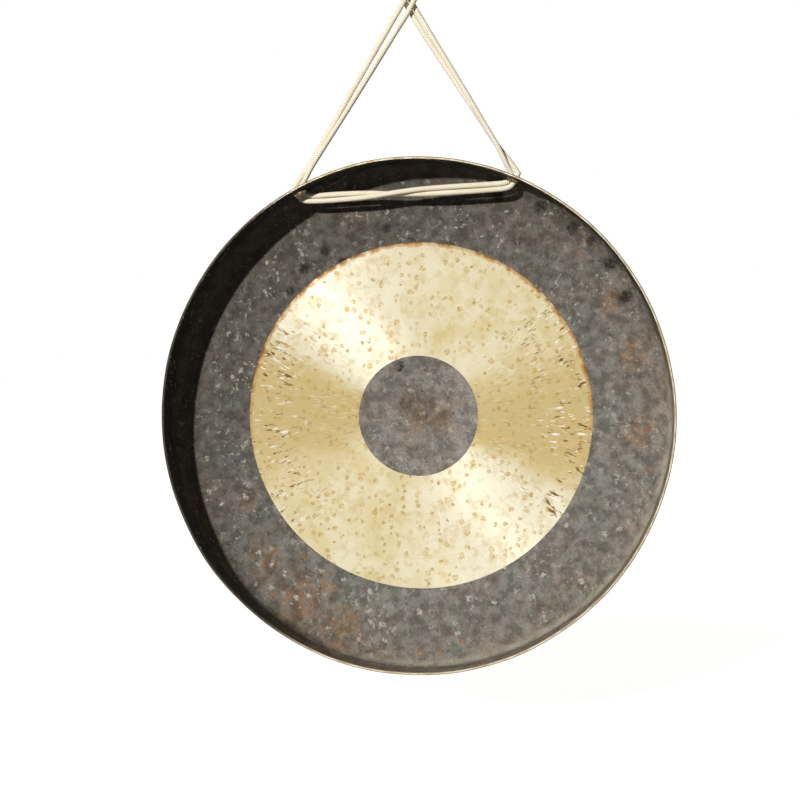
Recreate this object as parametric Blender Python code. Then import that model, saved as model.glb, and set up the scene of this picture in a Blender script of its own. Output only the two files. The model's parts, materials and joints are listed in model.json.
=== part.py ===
"""A hammered bronze gong, hollow at the back, hung by two rim holes on a doubled cotton cord.

Metres, +Z up. The origin is the inside top of the hanging loop, where a hook holds the gong.
The hollow side faces -Y and the struck side faces +Y. The gong hangs at rest, leaning a little,
because its holes lie behind its centre of mass.
"""

import math

import bmesh
import bpy
from mathutils import Matrix, Vector

# Gong plate and rim
GONG_RADIUS = 0.300
PLATE_THICKNESS = 0.0030
RIM_THICKNESS = 0.0032
RIM_DEPTH = 0.060
RIM_DRAW_IN = 0.0020
SHOULDER_RADIUS = 0.028
LIP_CHAMFER = 0.0008
CROWN = 0.006

# Turned ring, bright between the dark centre disc and the dark outer band
DISC_RADIUS = 0.071
RING_RADIUS = 0.208
TURNED_CUT = 0.0003
STEP_WIDTH = 0.0015

# Rim holes
HOLE_DIAMETER = 0.015
HOLE_HALF_ANGLE = math.radians(25.0)
HOLE_FROM_LIP = 0.028

# Cord, and the room beside a strand: beside its twin, at a hole, at the knot, behind the other pair
CORD_DIAMETER = 0.0060
CORD_GAP = 0.0003
PAIR_ROOM = 0.0006
HOLE_ROOM = 0.0018
LEFT_KNOT_ROOM = 0.0060
RIGHT_KNOT_ROOM = 0.0025
ROW_ROOM = 0.0022
RIM_ROOM = 0.0015

# Hanging
HANG_DROP = 0.582
HANG_ROLL = math.radians(1.8)
INSIDE_BEND = 0.0140
KNOT_DIAMETER = 0.038
LOOP_LENGTH = 0.050
LOOP_WIDTH = 0.026
LOOP_FOOT = 0.009
CROSSING_BELOW_KNOT = 0.037

# Cord routes. Inside the rim: share of a bend, then share of the run and twist in degrees
BEND_SHARES = (0.25, 0.65)
INSIDE_TWISTS = ((0.05, 0), (0.18, 6), (0.31, 40), (0.44, 90), (0.58, 136), (0.74, 170), (0.95, 184))
# Up a leg: share of the way, twist in degrees, share of the spread that the pair has at the knot
LEFT_LEG = ((0.06, -26, 0), (0.12, -48, 0), (0.22, -42, 0), (0.45, -12, 0.1), (0.8, 0, 0.5), (0.93, 0, 0.7))
RIGHT_LEG = ((0.05, 30, 0), (0.10, 65, 0), (0.16, 88, 0), (0.26, 98, 0), (0.48, 122, 0), (0.80, 168, 0))
# Share of the way from the crossing to the knot where a leg starts to turn into the knot
LEG_TURN = 0.8
# The hanging loop above its foot: half width, height
LOOP_RISE = ((0.0056, 0.0060), (0.0101, 0.0150))
LOOP_ARCH = (180, 150, 120)
# A tail's direction out of the knot, and its route from there
TAIL_OUT = (0.62, -0.30, 0.72)
TAIL_ROUTE = (
    (0, 0, 0),
    (0.0060, -0.0025, 0.0050),
    (0.0150, -0.0045, 0.0050),
    (0.0221, -0.0060, 0.0016),
    (0.0240, -0.0070, -0.0072),
    (0.0235, -0.0070, -0.0160),
)

# Fineness of the round forms
TURNED_STEPS = 90
SHOULDER_STEPS = 5
HOLE_SIDES = 24
KNOT_SEGMENTS = 24
KNOT_RINGS = 16
CORD_SIDES = 3
TIP_ANGLES = (30, 60, 75)
LEG_STEP = 0.014
INSIDE_STEP = 0.010
LOOP_STEP = 0.007
TAIL_STEP = 0.006
MERGE_DISTANCE = 1e-6
SHARP_ANGLE = math.radians(30)
CUTTER_WALLS = 8

CORD_RADIUS = CORD_DIAMETER / 2
PAIR_SPACING = CORD_DIAMETER + PAIR_ROOM
PAIR_AT_HOLE = CORD_DIAMETER + HOLE_ROOM
LEFT_PAIR_AT_KNOT = CORD_DIAMETER + LEFT_KNOT_ROOM
RIGHT_PAIR_AT_KNOT = CORD_DIAMETER + RIGHT_KNOT_ROOM
ROW_SPACING = CORD_DIAMETER + ROW_ROOM
HOLE_STANDOFF = CORD_RADIUS + RIM_ROOM
KNOT_RADIUS = KNOT_DIAMETER / 2
KNOT_REACH = KNOT_RADIUS + CORD_GAP + CORD_RADIUS
FLAT_RADIUS = GONG_RADIUS - SHOULDER_RADIUS
LIP_Y = PLATE_THICKNESS - RIM_DEPTH
HOLE_Y = LIP_Y + HOLE_FROM_LIP
KNOT_CENTRE = Vector((0, 0, -LOOP_LENGTH - KNOT_RADIUS))

SIDES = {"left": -1, "right": 1}
STRANDS = {"a": -1, "b": 1}


def clear_scene():
    for item in list(bpy.data.objects):
        bpy.data.objects.remove(item)


def finish(name, colour, roughness, metallic=0.0):
    material = bpy.data.materials.new(name)
    material.use_nodes = True
    shader = material.node_tree.nodes["Principled BSDF"]
    shader.inputs["Base Color"].default_value = (*colour, 1)
    shader.inputs["Roughness"].default_value = roughness
    shader.inputs["Metallic"].default_value = metallic
    return material


def pivot(name, place, parent=None):
    """An empty on a joint's axis, which carries the pieces that move together."""
    empty = bpy.data.objects.new(name, None)
    bpy.context.collection.objects.link(empty)
    empty.matrix_world = place
    if parent:
        empty.parent = parent
        empty.matrix_parent_inverse = parent.matrix_world.inverted()
    return empty


def carried(item, parent, material):
    """Hangs a piece on its pivot. Its own points are in the pivot's axes."""
    bpy.context.collection.objects.link(item)
    item.data.materials.append(material)
    item.parent = parent


def crown(radius):
    """Rise of the plate's shallow dome towards the struck side."""
    return CROWN * (1 - (radius / FLAT_RADIUS) ** 2)


def outer_radius(y):
    """Radius of the rim's outside at a depth. The rim draws in from the shoulder to its lip."""
    wall_top = PLATE_THICKNESS - SHOULDER_RADIUS
    return GONG_RADIUS - RIM_DRAW_IN * (wall_top - y) / (wall_top - LIP_Y)


def face_profile(height, cut):
    """One face of the plate from its centre to the shoulder, with the turned ring cut into it."""
    middle = (DISC_RADIUS + RING_RADIUS) / 2
    stations = (
        (0, 0),
        (DISC_RADIUS, 0),
        (DISC_RADIUS + STEP_WIDTH, cut),
        (middle, cut),
        (RING_RADIUS - STEP_WIDTH, cut),
        (RING_RADIUS, 0),
        ((RING_RADIUS + FLAT_RADIUS) / 2, 0),
        (FLAT_RADIUS, 0),
    )
    return [(radius, height + crown(radius) + depth) for radius, depth in stations]


def shoulder_profile(radius):
    """The rounded turn from plate to rim, as a quarter circle."""
    centre = PLATE_THICKNESS - SHOULDER_RADIUS
    points = []
    for step in range(1, SHOULDER_STEPS + 1):
        angle = math.pi / 2 * (1 - step / SHOULDER_STEPS)
        points.append((FLAT_RADIUS + radius * math.cos(angle), centre + radius * math.sin(angle)))
    return points


def gong_profile():
    """Cross-section as (radius, y), down the struck face and rim, and back up the hollow side."""
    outside = face_profile(PLATE_THICKNESS, -TURNED_CUT) + shoulder_profile(SHOULDER_RADIUS)
    inside = face_profile(0, TURNED_CUT) + shoulder_profile(SHOULDER_RADIUS - RIM_THICKNESS)
    lip = outer_radius(LIP_Y)
    edge = [
        (outer_radius(LIP_Y + LIP_CHAMFER), LIP_Y + LIP_CHAMFER),
        (lip - LIP_CHAMFER, LIP_Y),
        (lip - RIM_THICKNESS + LIP_CHAMFER, LIP_Y),
        (lip - RIM_THICKNESS, LIP_Y + LIP_CHAMFER),
    ]
    return outside + edge + inside[::-1]


def centre_of_mass(profile):
    """How far along its axis a turned solid's centre of mass lies.

    Volume and moment are summed over the edges of its cross-section, with radius and y both
    running evenly along an edge.
    """
    volume = 0.0
    moment = 0.0
    for (r, y), (r_next, y_next) in zip(profile, profile[1:] + profile[:1], strict=True):
        dr = r_next - r
        dy = y_next - y
        volume += dy / 2 * (r * r + r * dr + dr * dr / 3)
        constant = r * r * y
        linear = 2 * r * dr * y + r * r * dy
        square = dr * dr * y + 2 * r * dr * dy
        cubic = dr * dr * dy
        moment += dy / 2 * (constant + linear / 2 + square / 3 + cubic / 4)
    return moment / volume


def turned(name, profile):
    """Spins a closed cross-section round the gong's own axis, Y."""
    shape = bmesh.new()
    ring = [shape.verts.new((r, y, 0)) for r, y in profile]
    edges = [shape.edges.new(pair) for pair in zip(ring, ring[1:], strict=False)]
    bmesh.ops.spin(
        shape,
        geom=ring + edges,
        cent=(0, 0, 0),
        axis=(0, 1, 0),
        angle=math.tau,
        steps=TURNED_STEPS,
        use_merge=True,
    )
    bmesh.ops.remove_doubles(shape, verts=shape.verts, dist=MERGE_DISTANCE)
    bmesh.ops.recalc_face_normals(shape, faces=shape.faces)
    mesh = bpy.data.meshes.new(name)
    shape.to_mesh(mesh)
    shape.free()
    mesh.shade_smooth()
    mesh.set_sharp_from_angle(angle=SHARP_ANGLE)
    return mesh


def outward(side):
    """Unit vector from the gong's axis towards a rim hole, in the gong's own axes."""
    return Vector((side * math.sin(HOLE_HALF_ANGLE), 0, math.cos(HOLE_HALF_ANGLE)))


def hole_point(side, radius):
    """A point on a rim hole's centreline, in the gong's own axes."""
    point = outward(side) * radius
    point.y = HOLE_Y
    return point


def hole_cutter(side):
    """A rod through the rim wall, longer than the wall is thick."""
    shape = bmesh.new()
    bmesh.ops.create_cone(
        shape,
        cap_ends=True,
        segments=HOLE_SIDES,
        radius1=HOLE_DIAMETER / 2,
        radius2=HOLE_DIAMETER / 2,
        depth=CUTTER_WALLS * RIM_THICKNESS,
    )
    turn = outward(side).to_track_quat("Z", "Y").to_matrix().to_4x4()
    place = Matrix.Translation(hole_point(side, outer_radius(HOLE_Y) - RIM_THICKNESS / 2))
    bmesh.ops.transform(shape, matrix=place @ turn, verts=shape.verts)
    mesh = bpy.data.meshes.new("hole_cutter")
    shape.to_mesh(mesh)
    shape.free()
    return mesh


def mouth(side):
    """Where the two strands bend at a hole: a little outside the rim, in the gong's own axes."""
    return hole_point(side, outer_radius(HOLE_Y) + HOLE_STANDOFF)


def pitch_centre():
    """Middle of the line through the holes that the gong pitches about, in the gong's own axes."""
    return Vector((0, HOLE_Y, mouth(1).z))


def gong_place(profile):
    """The gong's place at rest: pivot on the line through its holes, centre of mass under the hook."""
    axis_height = pitch_centre().z
    behind = centre_of_mass(profile) - HOLE_Y
    lean = math.atan2(behind, axis_height)
    reach = math.hypot(behind, axis_height)
    middle = Vector((-reach * math.sin(HANG_ROLL), 0, -HANG_DROP + reach * math.cos(HANG_ROLL)))
    turn = Matrix.Rotation(-HANG_ROLL, 4, "Y") @ Matrix.Rotation(-lean, 4, "X")
    return Matrix.Translation(middle) @ turn


def smooth_route(points, step):
    """Points about a step apart along a smooth curve through a cord's route points."""
    ends = [2 * points[0] - points[1], *points, 2 * points[-1] - points[-2]]
    route = []
    for before, start, end, after in zip(ends, ends[1:], ends[2:], ends[3:], strict=False):
        count = max(1, round((end - start).length / step))
        for n in range(count):
            t = n / count
            route.append(
                0.5
                * (
                    2 * start
                    + (end - before) * t
                    + (2 * before - 5 * start + 4 * end - after) * t**2
                    + (3 * start - before - 3 * end + after) * t**3
                )
            )
    route.append(points[-1].copy())
    return route


def round_tip(end, neighbour):
    """Points beyond a cord's end, with their share of its radius, that round it like a ball."""
    out = (end - neighbour).normalized()
    angles = [math.radians(angle) for angle in TIP_ANGLES]
    return [(end + out * CORD_RADIUS * math.sin(a), math.cos(a)) for a in angles]


def cord(name, route, step):
    """A closed tube along a smooth route, its two ends rounded."""
    line = smooth_route(route, step)
    body = [(point, 1.0) for point in line]
    points = round_tip(line[0], line[1])[::-1] + body + round_tip(line[-1], line[-2])
    data = bpy.data.curves.new(name, "CURVE")
    data.dimensions = "3D"
    data.bevel_depth = CORD_RADIUS
    data.bevel_resolution = CORD_SIDES
    data.use_fill_caps = True
    spline = data.splines.new("POLY")
    spline.points.add(len(points) - 1)
    for target, (point, share) in zip(spline.points, points, strict=True):
        target.co = (*point, 1)
        target.radius = share
    return bpy.data.objects.new(name, data)


def strand_tip(side, strand):
    """Centre of a leg's rounded end at a hole, on the line that the gong pitches about."""
    return mouth(side) + Vector((strand * PAIR_AT_HOLE / 2, 0, 0))


def inside_bend(side, strand, share):
    """A strand's place inside a hole after it has turned through a share of its bend.

    The strand with the wider bend on the left has the tighter one on the right, because the pair
    makes half a twist on its way.
    """
    lateral = Vector((-side * math.cos(HOLE_HALF_ANGLE), 0, math.sin(HOLE_HALF_ANGLE)))
    centre = hole_point(side, outer_radius(HOLE_Y) - RIM_THICKNESS / 2) + lateral * INSIDE_BEND
    radius = INSIDE_BEND + side * strand * PAIR_SPACING / 2
    angle = (math.pi / 2 - HOLE_HALF_ANGLE) * share
    return centre - (lateral * math.cos(angle) + outward(side) * math.sin(angle)) * radius


def inside_route(strand):
    """One strand inside the rim, from hole to hole, with half a twist round its twin."""
    clear = CORD_DIAMETER + CORD_GAP
    ends = {side: strand_tip(side, strand) - outward(side) * clear for side in (-1, 1)}
    bends = {side: [inside_bend(side, strand, share) for share in BEND_SHARES] for side in (-1, 1)}
    runs = {side: inside_bend(side, 0, 1.0) for side in (-1, 1)}
    route = [ends[-1], *bends[-1]]
    for share, twist in INSIDE_TWISTS:
        angle = math.radians(twist)
        offset = Vector((0, math.sin(angle), math.cos(angle))) * strand * PAIR_SPACING / 2
        route.append(runs[-1].lerp(runs[1], share) + offset)
    return [*route, *bends[1][::-1], ends[1]]


def knot_entry(pair_x, row):
    """Centre of a strand's rounded end on the knot, in the sling's own axes."""
    return Vector((pair_x, row, -math.sqrt(KNOT_REACH**2 - pair_x**2 - row**2)))


def leg_route(side, strand, place):
    """One strand from a hole up to the knot, in the sling's own axes.

    The two pairs pass each other just under the knot, left in front and right behind. The right
    pair makes half a twist on its way up, so its strands change sides before the knot.
    """
    low = place @ strand_tip(side, strand) - KNOT_CENTRE
    centre = place @ mouth(side) - KNOT_CENTRE
    crossing = Vector((0, 0, -CROSSING_BELOW_KNOT))
    climb = (crossing - centre).normalized()
    beyond = crossing + climb * (CROSSING_BELOW_KNOT - KNOT_RADIUS) * LEG_TURN
    across = Vector((climb.z, 0, -climb.x))
    row = side * ROW_SPACING / 2
    if side < 0:
        twists = LEFT_LEG
        spread = LEFT_PAIR_AT_KNOT
        top = knot_entry(beyond.x + strand * spread / 2, row)
    else:
        twists = RIGHT_LEG
        spread = RIGHT_PAIR_AT_KNOT
        top = knot_entry(beyond.x - strand * spread / 2, row)
    route = [low]
    for share, twist, open_share in twists:
        angle = math.radians(twist)
        apart = PAIR_SPACING + (spread - PAIR_SPACING) * open_share
        offset = (across * math.cos(angle) + Vector((0, 1, 0)) * math.sin(angle)) * strand * apart / 2
        route.append(centre.lerp(beyond, share) + offset + Vector((0, row * share**2, 0)))
    route.append(top)
    return route


def loop_route():
    """The bight that a hook takes, from the knot's top up, over the origin and down again."""
    half = LOOP_WIDTH / 2
    foot = KNOT_CENTRE.z + math.sqrt(KNOT_REACH**2 - (LOOP_FOOT / 2) ** 2)
    top = CORD_RADIUS
    left = [Vector((-LOOP_FOOT / 2, 0, foot))]
    for half_width, height in LOOP_RISE:
        left.append(Vector((-half_width, 0, foot + height)))
    for degrees in LOOP_ARCH:
        angle = math.radians(degrees)
        left.append(Vector((half * math.cos(angle), 0, top - half + half * math.sin(angle))))
    right = [Vector((-point.x, 0, point.z)) for point in left[::-1]]
    return [*left, Vector((0, 0, top)), *right]


def tail_route(side):
    """A cut end of the cord, out of the knot's top and drooping beside it, in the knot's own axes."""
    start = Vector(TAIL_OUT).normalized() * KNOT_REACH
    route = [start + Vector(offset) for offset in TAIL_ROUTE]
    return [Vector((side * point.x, side * point.y, point.z)) for point in route]


def knot_ball():
    """The knot's outer form, which the wound strands fill."""
    shape = bmesh.new()
    bmesh.ops.create_uvsphere(
        shape, u_segments=KNOT_SEGMENTS, v_segments=KNOT_RINGS, radius=KNOT_RADIUS
    )
    mesh = bpy.data.meshes.new("top_knot")
    shape.to_mesh(mesh)
    shape.free()
    mesh.shade_smooth()
    return mesh


def make_gong(profile, parent, bronze):
    """The one bronze casting, hammered and turned, with its two rim holes drilled."""
    gong = bpy.data.objects.new("gong", turned("gong", profile))
    carried(gong, parent, bronze)
    gong.location = -pitch_centre()
    for name, side in SIDES.items():
        cutter = bpy.data.objects.new(f"{name}_hole_cutter", hole_cutter(side))
        bpy.context.collection.objects.link(cutter)
        cutter.parent = gong
        cutter.hide_render = True
        cutter.display_type = "WIRE"
        drill = gong.modifiers.new(f"{name}_hole", "BOOLEAN")
        drill.operation = "DIFFERENCE"
        drill.object = cutter


def make_inside_cords(parent, cotton):
    for name, strand in STRANDS.items():
        route = [point - pitch_centre() for point in inside_route(strand)]
        carried(cord(f"inside_cord_{name}", route, INSIDE_STEP), parent, cotton)


def make_legs(place, parent, cotton):
    for side_name, side in SIDES.items():
        for name, strand in STRANDS.items():
            route = leg_route(side, strand, place)
            carried(cord(f"{side_name}_leg_{name}", route, LEG_STEP), parent, cotton)


def main():
    clear_scene()
    bronze = finish("bronze", (0.16, 0.14, 0.12), 0.45, 1.0)
    cotton = finish("cotton_cord", (0.78, 0.74, 0.64), 0.9)

    profile = gong_profile()
    gong_rest = gong_place(profile)
    from_own_axes = gong_rest @ Matrix.Translation(-pitch_centre())

    hang_point = pivot("hang_point", Matrix.Identity(4))
    knot_pivot = pivot("knot_pivot", Matrix.Translation(KNOT_CENTRE), hang_point)
    sling_pivot = pivot("sling_pivot", Matrix.Translation(KNOT_CENTRE), knot_pivot)
    gong_pivot = pivot("gong_pivot", gong_rest, sling_pivot)

    make_gong(profile, gong_pivot, bronze)
    make_inside_cords(gong_pivot, cotton)
    make_legs(from_own_axes, sling_pivot, cotton)
    carried(bpy.data.objects.new("top_knot", knot_ball()), knot_pivot, cotton)
    for name, side in zip(STRANDS, SIDES.values(), strict=True):
        carried(cord(f"tail_{name}", tail_route(side), TAIL_STEP), knot_pivot, cotton)
    carried(cord("hang_loop", loop_route(), LOOP_STEP), hang_point, cotton)
    bpy.context.view_layer.update()


main()
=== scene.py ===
# %% [markdown]
# # A hammered gong, hung by its rim on a doubled cotton cord
#
# The object is one plate of cast and hammered bronze, and we look into its hollow back. The fire of
# the forge left it black. A lathe then cut one bright ring into it. A braided cotton cord runs
# through two holes in the rim, twice, and is gathered in a knot under the loop that a hook takes.
#
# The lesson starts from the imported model. It holds the true sizes and the bodies that move, and the
# pieces made here are dressed around it and ride on its bodies.

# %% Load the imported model
import json
import math
import random

import bpy
import numpy as np
from mathutils import Matrix, Quaternion, Vector, noise


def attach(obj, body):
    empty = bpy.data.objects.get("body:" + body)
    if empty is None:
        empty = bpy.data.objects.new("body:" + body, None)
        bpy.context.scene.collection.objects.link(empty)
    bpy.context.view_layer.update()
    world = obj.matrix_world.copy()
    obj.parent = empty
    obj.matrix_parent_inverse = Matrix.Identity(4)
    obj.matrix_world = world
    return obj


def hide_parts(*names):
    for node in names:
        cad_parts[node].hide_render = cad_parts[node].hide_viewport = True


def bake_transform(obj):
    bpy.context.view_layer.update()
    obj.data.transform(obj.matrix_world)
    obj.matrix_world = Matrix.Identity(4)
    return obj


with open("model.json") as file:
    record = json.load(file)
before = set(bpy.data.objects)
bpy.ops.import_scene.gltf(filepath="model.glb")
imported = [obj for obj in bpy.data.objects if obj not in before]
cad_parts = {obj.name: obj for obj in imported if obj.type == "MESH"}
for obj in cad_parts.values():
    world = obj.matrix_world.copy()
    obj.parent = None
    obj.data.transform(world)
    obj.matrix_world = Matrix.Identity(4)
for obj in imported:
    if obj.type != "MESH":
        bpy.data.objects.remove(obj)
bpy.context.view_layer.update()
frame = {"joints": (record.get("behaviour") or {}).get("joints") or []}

# %% [markdown]
# ## Camera
#
# The camera stands where the photographer stood: 1.3 m from the plate, a little to the right and a
# little above it. It looks straight at the plate's centre. The small shift moves the picture
# instead of turning the camera, so the round plate keeps its exact outline.

# %% Place the camera
PLATE_CENTRE = Vector((0.0, 0.0068, -0.5825))
CAMERA_AZIMUTH = math.radians(7.6)
CAMERA_ELEVATION = math.radians(5.9)
CAMERA_ROLL = math.radians(1.13)
CAMERA_DISTANCE = 1.300
CAMERA_LENS = 48.75
CAMERA_SHIFT = (-0.0218, 0.0200)


def direction(azimuth, elevation):
    """Unit vector from the object towards a place seen from the front, where azimuth 0 is -Y."""
    level = math.cos(elevation)
    return Vector((math.sin(azimuth) * level, -math.cos(azimuth) * level, math.sin(elevation)))


view_back = direction(CAMERA_AZIMUTH, CAMERA_ELEVATION)
bpy.ops.object.camera_add(location=PLATE_CENTRE + view_back * CAMERA_DISTANCE)
camera = bpy.context.object
aim = (-view_back).to_track_quat("-Z", "Y") @ Quaternion((0, 0, 1), -CAMERA_ROLL)
camera.rotation_euler = aim.to_euler()
camera.data.lens = CAMERA_LENS
camera.data.shift_x, camera.data.shift_y = CAMERA_SHIFT
bpy.context.scene.camera = camera
print("camera at", [round(x, 3) for x in camera.location])

# %% [markdown]
# ## Where the gong hangs
#
# The gong pitches about the line through its two rim holes. Its centre of mass lies in front of
# them, so it leans at rest. It is also turned a little in its own plane. One matrix holds
# that place. Everything on the gong is worked out about the gong's own axis first, because
# round things are simple there, and is then moved by the matrix.

# %% Gong sizes and place
GONG_RADIUS = 0.300
PLATE_THICKNESS = 0.0030
RIM_THICKNESS = 0.0032
RIM_DEPTH = 0.060
RIM_DRAW_IN = 0.0020
SHOULDER_RADIUS = 0.028
CROWN = 0.006
DISC_RADIUS = 0.071
RING_RADIUS = 0.208
TURNED_CUT = 0.0003
STEP_WIDTH = 0.0015
HOLE_DIAMETER = 0.015
HOLE_HALF_ANGLE = math.radians(25.0)
HOLE_FROM_LIP = 0.028
GONG_LEAN = math.radians(4.607)
GONG_ROLL = math.radians(1.8)

CORD_DIAMETER = 0.0060
CORD_RADIUS = CORD_DIAMETER / 2
RIM_ROOM = 0.0015

FLAT_RADIUS = GONG_RADIUS - SHOULDER_RADIUS
LIP_Y = PLATE_THICKNESS - RIM_DEPTH
HOLE_Y = LIP_Y + HOLE_FROM_LIP
WALL_TOP = PLATE_THICKNESS - SHOULDER_RADIUS

joints = {joint["name"]: joint for joint in frame["joints"]}
pitch_point = Vector(joints["pitch"]["pos_m"])
knot_centre = Vector(joints["swing"]["pos_m"])


def outer_radius(y):
    """Radius of the rim's outside at a depth. The rim draws in from the shoulder to its lip."""
    return GONG_RADIUS - RIM_DRAW_IN * (WALL_TOP - y) / (WALL_TOP - LIP_Y)


def outward(side):
    """Unit vector from the gong's axis towards a rim hole, in the gong's own axes."""
    return Vector((side * math.sin(HOLE_HALF_ANGLE), 0, math.cos(HOLE_HALF_ANGLE)))


def hole_point(side, radius):
    """A point on a rim hole's centreline, in the gong's own axes."""
    return outward(side) * radius + Vector((0, HOLE_Y, 0))


def mouth(side):
    """Where the two strands bend at a hole, a little outside the rim."""
    return hole_point(side, outer_radius(HOLE_Y) + CORD_RADIUS + RIM_ROOM)


lean_and_roll = Matrix.Rotation(-GONG_ROLL, 4, "Y") @ Matrix.Rotation(-GONG_LEAN, 4, "X")
gong_place = (
    Matrix.Translation(pitch_point) @ lean_and_roll @ Matrix.Translation((0, -HOLE_Y, -mouth(1).z))
)
print("plate centre:", [round(x, 4) for x in gong_place @ Vector((0, 0, 0))])

# %% [markdown]
# ## Routes of the cord
#
# The cord is one length of 6 mm braid, used doubled. It bends at the knot and at the two holes, and
# at those places the gong can swing, so each stretch between two bends is a piece of its own that
# rides on its own body. Each route is a short list of given points, and a smooth curve
# runs through them. Two strands that lie together get the same route with an offset to
# each side, and turning that offset as the route goes on twists them round each other.

# %% Route helpers
PAIR_SPACING = CORD_DIAMETER + 0.0006
PAIR_AT_HOLE = CORD_DIAMETER + 0.0018
LEFT_PAIR_AT_KNOT = CORD_DIAMETER + 0.0060
RIGHT_PAIR_AT_KNOT = CORD_DIAMETER + 0.0025
ROW_SPACING = CORD_DIAMETER + 0.0022
CORD_GAP = 0.0003
INSIDE_BEND = 0.0140
KNOT_RADIUS = 0.019
KNOT_REACH = KNOT_RADIUS + CORD_GAP + CORD_RADIUS
CROSSING_BELOW_KNOT = 0.037
LEG_TURN = 0.8
LEG_INTO_KNOT = 0.55
BEND_SHARES = (0.25, 0.65)
PATH_STEP = 0.002
# Each point of a pair is a share of the way, the pair's turn there in degrees and, on a leg, how
# far the pair has opened towards its spacing at the knot
INSIDE_TWISTS = (
    (0.05, 0), (0.18, 6), (0.31, 40), (0.44, 90), (0.58, 136), (0.74, 170), (0.95, 184),
)
LEFT_LEG = (
    (0.06, -26, 0), (0.12, -48, 0), (0.22, -42, 0), (0.45, -12, 0.1), (0.80, 0, 0.5),
    (0.93, 0, 0.7),
)
RIGHT_LEG = (
    (0.05, 30, 0), (0.10, 65, 0), (0.16, 88, 0), (0.26, 98, 0), (0.48, 122, 0), (0.80, 168, 0),
)
SIDES = {"left": -1, "right": 1}
STRANDS = {"a": -1, "b": 1}


def smooth_route(points, step):
    """Points about a step apart along a smooth curve through a cord's route points."""
    ends = [2 * points[0] - points[1], *points, 2 * points[-1] - points[-2]]
    route = []
    for before, start, end, after in zip(ends, ends[1:], ends[2:], ends[3:], strict=False):
        count = max(1, round((end - start).length / step))
        for n in range(count):
            t = n / count
            linear = (end - before) * t
            square = (2 * before - 5 * start + 4 * end - after) * t**2
            cubic = (3 * start - before - 3 * end + after) * t**3
            route.append((2 * start + linear + square + cubic) / 2)
    route.append(points[-1].copy())
    return route


def length_of(route):
    """Length of the straight lines between a route's points."""
    return sum((b - a).length for a, b in zip(route, route[1:], strict=False))


# %% Routes inside the rim
def strand_tip(side, strand):
    """Where a leg and its inside strand meet, on the line that the gong pitches about."""
    return mouth(side) + Vector((strand * PAIR_AT_HOLE / 2, 0, 0))


def inside_bend(side, strand, share):
    """A strand's place inside a hole after it has turned through a share of its bend."""
    lateral = Vector((-side * math.cos(HOLE_HALF_ANGLE), 0, math.sin(HOLE_HALF_ANGLE)))
    centre = hole_point(side, outer_radius(HOLE_Y) - RIM_THICKNESS / 2) + lateral * INSIDE_BEND
    radius = INSIDE_BEND + side * strand * PAIR_SPACING / 2
    angle = (math.pi / 2 - HOLE_HALF_ANGLE) * share
    return centre - (lateral * math.cos(angle) + outward(side) * math.sin(angle)) * radius


def inside_route(strand):
    """One strand inside the rim, from hole to hole, with half a twist round its twin."""
    clear = CORD_DIAMETER + CORD_GAP
    tips = {side: strand_tip(side, strand) for side in (-1, 1)}
    ends = {side: tips[side] - outward(side) * clear for side in (-1, 1)}
    bends = {side: [inside_bend(side, strand, share) for share in BEND_SHARES] for side in (-1, 1)}
    runs = {side: inside_bend(side, 0, 1.0) for side in (-1, 1)}
    route = [tips[-1], ends[-1], *bends[-1]]
    for share, twist in INSIDE_TWISTS:
        angle = math.radians(twist)
        offset = Vector((0, math.sin(angle), math.cos(angle))) * strand * PAIR_SPACING / 2
        route.append(runs[-1].lerp(runs[1], share) + offset)
    route += [*bends[1][::-1], ends[1], tips[1]]
    return [gong_place @ point for point in route]


# %% Routes of the legs
def knot_entry(pair_x, row):
    """Where a strand meets the knot's surface, measured from the knot's centre."""
    return Vector((pair_x, row, -math.sqrt(KNOT_REACH**2 - pair_x**2 - row**2)))


def leg_route(side, strand):
    """One strand from a hole up to the knot and on into it.

    The two pairs pass each other just under the knot, left in front and right behind. The right
    pair makes half a twist on its way up, so its strands change sides before the knot.
    """
    low = gong_place @ strand_tip(side, strand) - knot_centre
    centre = gong_place @ mouth(side) - knot_centre
    crossing = Vector((0, 0, -CROSSING_BELOW_KNOT))
    climb = (crossing - centre).normalized()
    beyond = crossing + climb * (CROSSING_BELOW_KNOT - KNOT_RADIUS) * LEG_TURN
    across = Vector((climb.z, 0, -climb.x))
    row = side * ROW_SPACING / 2
    if side < 0:
        twists = LEFT_LEG
        spread = LEFT_PAIR_AT_KNOT
        top = knot_entry(beyond.x + strand * spread / 2, row)
    else:
        twists = RIGHT_LEG
        spread = RIGHT_PAIR_AT_KNOT
        top = knot_entry(beyond.x - strand * spread / 2, row)
    route = [low]
    for share, twist, open_share in twists:
        angle = math.radians(twist)
        apart = PAIR_SPACING + (spread - PAIR_SPACING) * open_share
        offset = (across * math.cos(angle) + Vector((0, 1, 0)) * math.sin(angle)) * strand * apart / 2
        route.append(centre.lerp(beyond, share) + offset + Vector((0, row * share**2, 0)))
    route += [top, top * LEG_INTO_KNOT]
    return [knot_centre + point for point in route]


inside_routes = {name: inside_route(strand) for name, strand in STRANDS.items()}
leg_routes = {
    f"{side_name}_leg_{name}": leg_route(side, strand)
    for side_name, side in SIDES.items()
    for name, strand in STRANDS.items()
}
for name, route in (leg_routes | inside_routes).items():
    print(name, "is", round(length_of(smooth_route(route, PATH_STEP)), 3), "m long")

# %% [markdown]
# ## Routes above the knot
#
# The bight above the knot is the loop that a hook takes: a narrow foot, a rise that opens, and a
# round arch whose inside top is the origin. The two cut ends leave the knot's top and droop
# beside it.

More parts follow.
